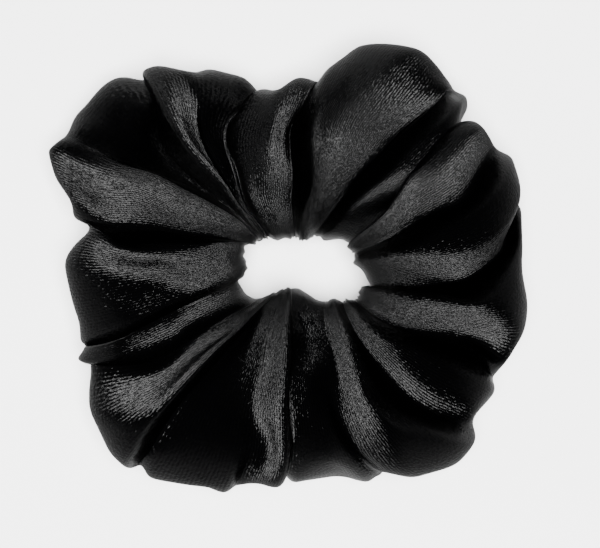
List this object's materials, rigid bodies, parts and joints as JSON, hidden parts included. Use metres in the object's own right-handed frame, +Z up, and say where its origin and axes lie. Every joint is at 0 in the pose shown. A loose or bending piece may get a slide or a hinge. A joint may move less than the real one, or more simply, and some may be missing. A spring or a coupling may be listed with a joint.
{
  "type": "scrunchie",
  "caption": "Hair scrunchie: a gathered velvet tube closed into a soft ring over an elastic band, lying flat, with a stretch joint across the opening.",
  "frame": {"origin": "middle of the footprint, on the surface that the scrunchie lies on", "axes": "+Z up through the opening, +X across the scrunchie's longest width, which is also the way the band is pulled, +Y to the far side, where the cross seam and the elastic's join are"},
  "size_m": [0.1142, 0.106, 0.03],
  "materials": {
    "velvet": "matte",
    "elastic": "matte",
    "thread": "satin"
  },
  "bodies": {
    "left": {"velvet_sleeve_left": "velvet", "elastic_band_left": "elastic", "elastic_join_thread_left": "thread", "long_seam_needle_thread_left": "thread", "long_seam_bobbin_thread_left": "thread", "cross_seam_thread": "thread", "closing_thread": "thread"},
    "right": {"velvet_sleeve_right": "velvet", "elastic_band_right": "elastic", "elastic_join_thread_right": "thread", "long_seam_needle_thread_right": "thread", "long_seam_bobbin_thread_right": "thread"}
  },
  "joints": [
    {"name": "stretch", "type": "slide", "parent": "left", "child": "right", "axis": [1, 0, 0], "range_m": [0, 0.08], "stiffness_N_per_m": 80}
  ]
}
